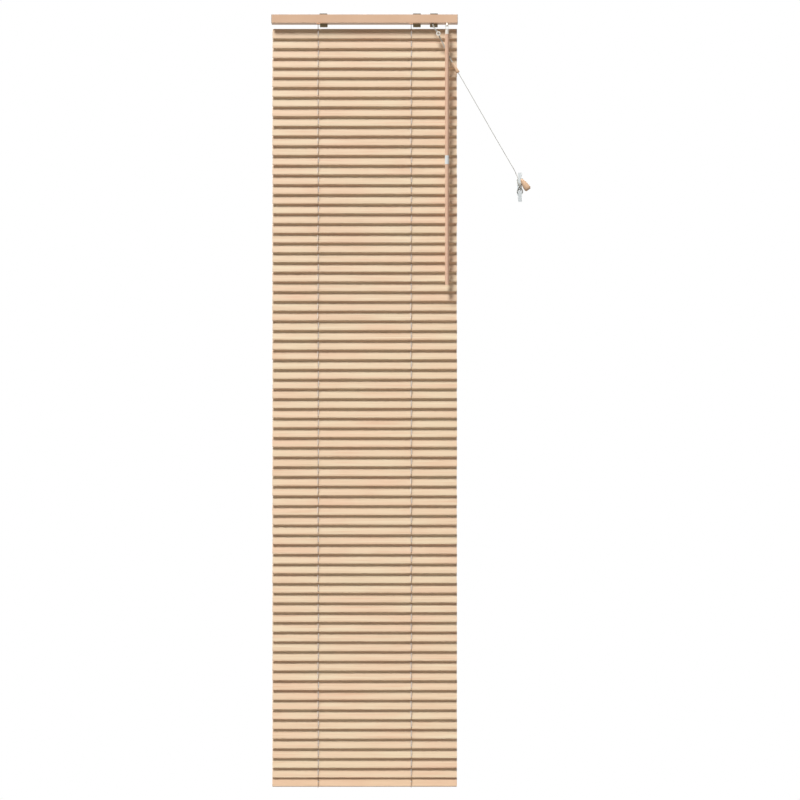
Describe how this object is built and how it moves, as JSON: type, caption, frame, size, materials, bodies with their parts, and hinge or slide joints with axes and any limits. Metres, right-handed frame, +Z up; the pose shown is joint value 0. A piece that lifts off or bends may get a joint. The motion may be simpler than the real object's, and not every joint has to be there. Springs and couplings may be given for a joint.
{
  "type": "wooden venetian blind",
  "caption": "Narrow wooden venetian blind with closed slats, a headrail with brackets, a tilt wand, and a pull cord tied off on a wall cleat.",
  "frame": {"origin": "middle of the headrail's length, on the plane of the bracket tops, at the slats' middle", "axes": "+X to the viewer's right along the headrail, -Y towards the room, +Z up"},
  "size_m": [0.6254, 0.0427, 1.8691],
  "materials": {
    "bottom_rail": "satin",
    "bracket_latch": "matt",
    "cleat": "gloss",
    "cord": "matt",
    "cord_stop": "gloss",
    "end_cap": "matt",
    "gear_plastic": "gloss",
    "hardware_plastic": "matt",
    "headrail": "satin",
    "ladder_string": "matt",
    "mounting_brackets": "satin",
    "rail_plugs": "matt",
    "slats": "satin",
    "steel": "brushed",
    "turned_wood": "satin",
    "wand": "satin",
    "wand_coupler": "gloss",
    "wand_hook": "gloss"
  },
  "bodies": {
    "frame": {"headrail": "headrail", "end_cap_left": "end_cap", "end_cap_right": "end_cap", "mounting_brackets": "mounting_brackets", "drum_cradles": "hardware_plastic", "tilter_housing": "hardware_plastic", "cord_lock_housing": "hardware_plastic", "upper_slats_a": "slats", "upper_slats_b": "slats", "slat_65": "slats", "lift_cords": "cord", "cleat": "cleat", "cord_stop": "cord_stop", "twin_cords": "cord", "pull_cord": "cord", "cord_winding": "cord", "tassel": "turned_wood"},
    "latch_left": {"latch_left": "bracket_latch"},
    "latch_middle": {"latch_middle": "bracket_latch"},
    "latch_right": {"latch_right": "bracket_latch"},
    "lock_roller": {"cord_lock_roller": "steel"},
    "tilt_shaft": {"tilt_rod": "steel", "tilt_drums": "gear_plastic", "worm_gear": "gear_plastic"},
    "worm": {"worm_stem": "gear_plastic"},
    "hook": {"wand_hook": "wand_hook"},
    "wand": {"wand_upper": "wand", "wand_coupler": "wand_coupler", "wand_lower": "wand"},
    "ladder_back": {"ladder_back": "ladder_string"},
    "ladder_front": {"ladder_front": "ladder_string"},
    "rail_carrier": {"cord_knots": "cord"},
    "bottom_rail": {"bottom_rail": "bottom_rail", "rail_end_caps": "bottom_rail", "rail_plugs": "rail_plugs"},
    "joiner": {"cord_joiner": "turned_wood"},
    "link_66": {"ladder_link_66": "ladder_string"},
    "slat_66": {"slat_66": "slats"},
    "link_67": {"ladder_link_67": "ladder_string"},
    "slat_67": {"slat_67": "slats"},
    "link_68": {"ladder_link_68": "ladder_string"},
    "slat_68": {"slat_68": "slats"},
    "link_69": {"ladder_link_69": "ladder_string"},
    "slat_69": {"slat_69": "slats"},
    "link_70": {"ladder_link_70": "ladder_string"},
    "slat_70": {"slat_70": "slats"},
    "link_71": {"ladder_link_71": "ladder_string"},
    "slat_71": {"slat_71": "slats"},
    "link_72": {"ladder_link_72": "ladder_string"},
    "slat_72": {"slat_72": "slats"},
    "link_73": {"ladder_link_73": "ladder_string"},
    "slat_73": {"slat_73": "slats"},
    "link_74": {"ladder_link_74": "ladder_string"},
    "slat_74": {"slat_74": "slats"},
    "link_75": {"ladder_link_75": "ladder_string"},
    "slat_75": {"slat_75": "slats"},
    "link_76": {"ladder_link_76": "ladder_string"},
    "slat_76": {"slat_76": "slats"},
    "link_77": {"ladder_link_77": "ladder_string"},
    "slat_77": {"slat_77": "slats"}
  },
  "joints": [
    {"name": "tilt", "type": "hinge", "parent": "frame", "child": "tilt_shaft", "pos_m": [0, 0.005, -0.0155], "axis": [-1, 0, 0], "range_deg": [0, 150]},
    {"name": "worm_spin", "type": "hinge", "parent": "frame", "child": "worm", "pos_m": [0.1988, -0.00144, -0.0101], "axis": [0, -0.6428, -0.766], "range_deg": [0, 1800]},
    {"name": "wand_swing", "type": "hinge", "parent": "frame", "child": "hook", "pos_m": [0.1988, -0.01802, -0.02986], "axis": [-1, 0, 0], "range_deg": [0, 60]},
    {"name": "wand_twist", "type": "hinge", "parent": "hook", "child": "wand", "pos_m": [0.1988, -0.01969, -0.0513], "axis": [0, 0, -1], "range_deg": [0, 1800], "deforming": ["slat_65", "cord_knots", "lift_cords", "ladder_back", "ladder_front", "ladder_link_66", "ladder_link_67", "ladder_link_68", "ladder_link_69", "ladder_link_70", "ladder_link_71", "ladder_link_72", "ladder_link_73", "ladder_link_74", "ladder_link_75", "ladder_link_76", "ladder_link_77"]},
    {"name": "ladder_back_slide", "type": "slide", "parent": "frame", "child": "ladder_back", "axis": [0, 0, -1], "range_m": [0, 0.0297]},
    {"name": "ladder_front_slide", "type": "slide", "parent": "ladder_back", "child": "ladder_front", "axis": [0, 0, 1], "range_m": [0, 0.0594]},
    {"name": "lift", "type": "slide", "parent": "frame", "child": "rail_carrier", "axis": [0, 0, 1], "range_m": [0, 0.18], "deforming": ["lift_cords", "twin_cords", "pull_cord", "ladder_link_66", "ladder_link_67", "ladder_link_68", "ladder_link_69", "ladder_link_70", "ladder_link_71", "ladder_link_72", "ladder_link_73", "ladder_link_74", "ladder_link_75", "ladder_link_76", "ladder_link_77"]},
    {"name": "bottom_rail_tilt", "type": "hinge", "parent": "rail_carrier", "child": "bottom_rail", "pos_m": [0, 0, -1.8551], "axis": [-1, 0, 0], "range_deg": [0, 150]},
    {"name": "slat_66_lift", "type": "slide", "parent": "frame", "child": "link_66", "axis": [0, 0, 1], "range_m": [0, 0.01504]},
    {"name": "slat_66_tilt", "type": "hinge", "parent": "link_66", "child": "slat_66", "pos_m": [0, 0, -1.5741], "axis": [-1, 0, 0], "range_deg": [0, 150]},
    {"name": "slat_67_lift", "type": "slide", "parent": "frame", "child": "link_67", "axis": [0, 0, 1], "range_m": [0, 0.02988]},
    {"name": "slat_67_tilt", "type": "hinge", "parent": "link_67", "child": "slat_67", "pos_m": [0, 0, -1.5976], "axis": [-1, 0, 0], "range_deg": [0, 150]},
    {"name": "slat_68_lift", "type": "slide", "parent": "frame", "child": "link_68", "axis": [0, 0, 1], "range_m": [0, 0.04473]},
    {"name": "slat_68_tilt", "type": "hinge", "parent": "link_68", "child": "slat_68", "pos_m": [0, 0, -1.6211], "axis": [-1, 0, 0], "range_deg": [0, 150]},
    {"name": "slat_69_lift", "type": "slide", "parent": "frame", "child": "link_69", "axis": [0, 0, 1], "range_m": [0, 0.05957]},
    {"name": "slat_69_tilt", "type": "hinge", "parent": "link_69", "child": "slat_69", "pos_m": [0, 0, -1.6446], "axis": [-1, 0, 0], "range_deg": [0, 150]},
    {"name": "slat_70_lift", "type": "slide", "parent": "frame", "child": "link_70", "axis": [0, 0, 1], "range_m": [0, 0.07441]},
    {"name": "slat_70_tilt", "type": "hinge", "parent": "link_70", "child": "slat_70", "pos_m": [0, 0, -1.6681], "axis": [-1, 0, 0], "range_deg": [0, 150]},
    {"name": "slat_71_lift", "type": "slide", "parent": "frame", "child": "link_71", "axis": [0, 0, 1], "range_m": [0, 0.08925]},
    {"name": "slat_71_tilt", "type": "hinge", "parent": "link_71", "child": "slat_71", "pos_m": [0, 0, -1.6916], "axis": [-1, 0, 0], "range_deg": [0, 150]},
    {"name": "slat_72_lift", "type": "slide", "parent": "frame", "child": "link_72", "axis": [0, 0, 1], "range_m": [0, 0.1041]},
    {"name": "slat_72_tilt", "type": "hinge", "parent": "link_72", "child": "slat_72", "pos_m": [0, 0, -1.7151], "axis": [-1, 0, 0], "range_deg": [0, 150]},
    {"name": "slat_73_lift", "type": "slide", "parent": "frame", "child": "link_73", "axis": [0, 0, 1], "range_m": [0, 0.11894]},
    {"name": "slat_73_tilt", "type": "hinge", "parent": "link_73", "child": "slat_73", "pos_m": [0, 0, -1.7386], "axis": [-1, 0, 0], "range_deg": [0, 150]},
    {"name": "slat_74_lift", "type": "slide", "parent": "frame", "child": "link_74", "axis": [0, 0, 1], "range_m": [0, 0.13378]},
    {"name": "slat_74_tilt", "type": "hinge", "parent": "link_74", "child": "slat_74", "pos_m": [0, 0, -1.7621], "axis": [-1, 0, 0], "range_deg": [0, 150]},
    {"name": "slat_75_lift", "type": "slide", "parent": "frame", "child": "link_75", "axis": [0, 0, 1], "range_m": [0, 0.14862]},
    {"name": "slat_75_tilt", "type": "hinge", "parent": "link_75", "child": "slat_75", "pos_m": [0, 0, -1.7856], "axis": [-1, 0, 0], "range_deg": [0, 150]},
    {"name": "slat_76_lift", "type": "slide", "parent": "frame", "child": "link_76", "axis": [0, 0, 1], "range_m": [0, 0.16347]},
    {"name": "slat_76_tilt", "type": "hinge", "parent": "link_76", "child": "slat_76", "pos_m": [0, 0, -1.8091], "axis": [-1, 0, 0], "range_deg": [0, 150]},
    {"name": "slat_77_lift", "type": "slide", "parent": "frame", "child": "link_77", "axis": [0, 0, 1], "range_m": [0, 0.17831]},
    {"name": "slat_77_tilt", "type": "hinge", "parent": "link_77", "child": "slat_77", "pos_m": [0, 0, -1.8326], "axis": [-1, 0, 0], "range_deg": [0, 150]},
    {"name": "joiner_slide", "type": "slide", "parent": "frame", "child": "joiner", "axis": [0.5, 0, -0.866], "range_m": [0, 0.1802]},
    {"name": "latch_left_swing", "type": "hinge", "parent": "frame", "child": "latch_left", "pos_m": [-0.0992, 0.012, -0.0271], "axis": [1, 0, 0], "range_deg": [0, 80]},
    {"name": "latch_middle_swing", "type": "hinge", "parent": "frame", "child": "latch_middle", "pos_m": [0.1264, 0.012, -0.0271], "axis": [1, 0, 0], "range_deg": [0, 80]},
    {"name": "latch_right_swing", "type": "hinge", "parent": "frame", "child": "latch_right", "pos_m": [0.1674, 0.012, -0.0271], "axis": [1, 0, 0], "range_deg": [0, 80]},
    {"name": "lock_roller_spin", "type": "hinge", "parent": "frame", "child": "lock_roller", "pos_m": [0.164, -0.0075, -0.0133], "axis": [1, 0, 0], "continuous": true}
  ],
  "couplings": [
    {"joint": "tilt", "follows": "wand_twist", "ratio": 0.083333},
    {"joint": "worm_spin", "follows": "wand_twist", "ratio": 1},
    {"joint": "ladder_back_slide", "follows": "wand_twist", "m_per_rad": 0.00093901},
    {"joint": "ladder_front_slide", "follows": "wand_twist", "m_per_rad": 0.001878},
    {"joint": "bottom_rail_tilt", "follows": "wand_twist", "ratio": 0.083333},
    {"joint": "slat_66_lift", "follows": "lift", "ratio": 0.082457},
    {"joint": "slat_66_tilt", "follows": "wand_twist", "ratio": 0.083333},
    {"joint": "slat_67_lift", "follows": "lift", "ratio": 0.16491},
    {"joint": "slat_67_tilt", "follows": "wand_twist", "ratio": 0.083333},
    {"joint": "slat_68_lift", "follows": "lift", "ratio": 0.24737},
    {"joint": "slat_68_tilt", "follows": "wand_twist", "ratio": 0.083333},
    {"joint": "slat_69_lift", "follows": "lift", "ratio": 0.32983},
    {"joint": "slat_69_tilt", "follows": "wand_twist", "ratio": 0.083333},
    {"joint": "slat_70_lift", "follows": "lift", "ratio": 0.41229},
    {"joint": "slat_70_tilt", "follows": "wand_twist", "ratio": 0.083333},
    {"joint": "slat_71_lift", "follows": "lift", "ratio": 0.49474},
    {"joint": "slat_71_tilt", "follows": "wand_twist", "ratio": 0.083333},
    {"joint": "slat_72_lift", "follows": "lift", "ratio": 0.5772},
    {"joint": "slat_72_tilt", "follows": "wand_twist", "ratio": 0.083333},
    {"joint": "slat_73_lift", "follows": "lift", "ratio": 0.65966},
    {"joint": "slat_73_tilt", "follows": "wand_twist", "ratio": 0.083333},
    {"joint": "slat_74_lift", "follows": "lift", "ratio": 0.74211},
    {"joint": "slat_74_tilt", "follows": "wand_twist", "ratio": 0.083333},
    {"joint": "slat_75_lift", "follows": "lift", "ratio": 0.82457},
    {"joint": "slat_75_tilt", "follows": "wand_twist", "ratio": 0.083333},
    {"joint": "slat_76_lift", "follows": "lift", "ratio": 0.90703},
    {"joint": "slat_76_tilt", "follows": "wand_twist", "ratio": 0.083333},
    {"joint": "slat_77_lift", "follows": "lift", "ratio": 0.98948},
    {"joint": "slat_77_tilt", "follows": "wand_twist", "ratio": 0.083333},
    {"joint": "joiner_slide", "follows": "lift", "ratio": 1}
  ]
}
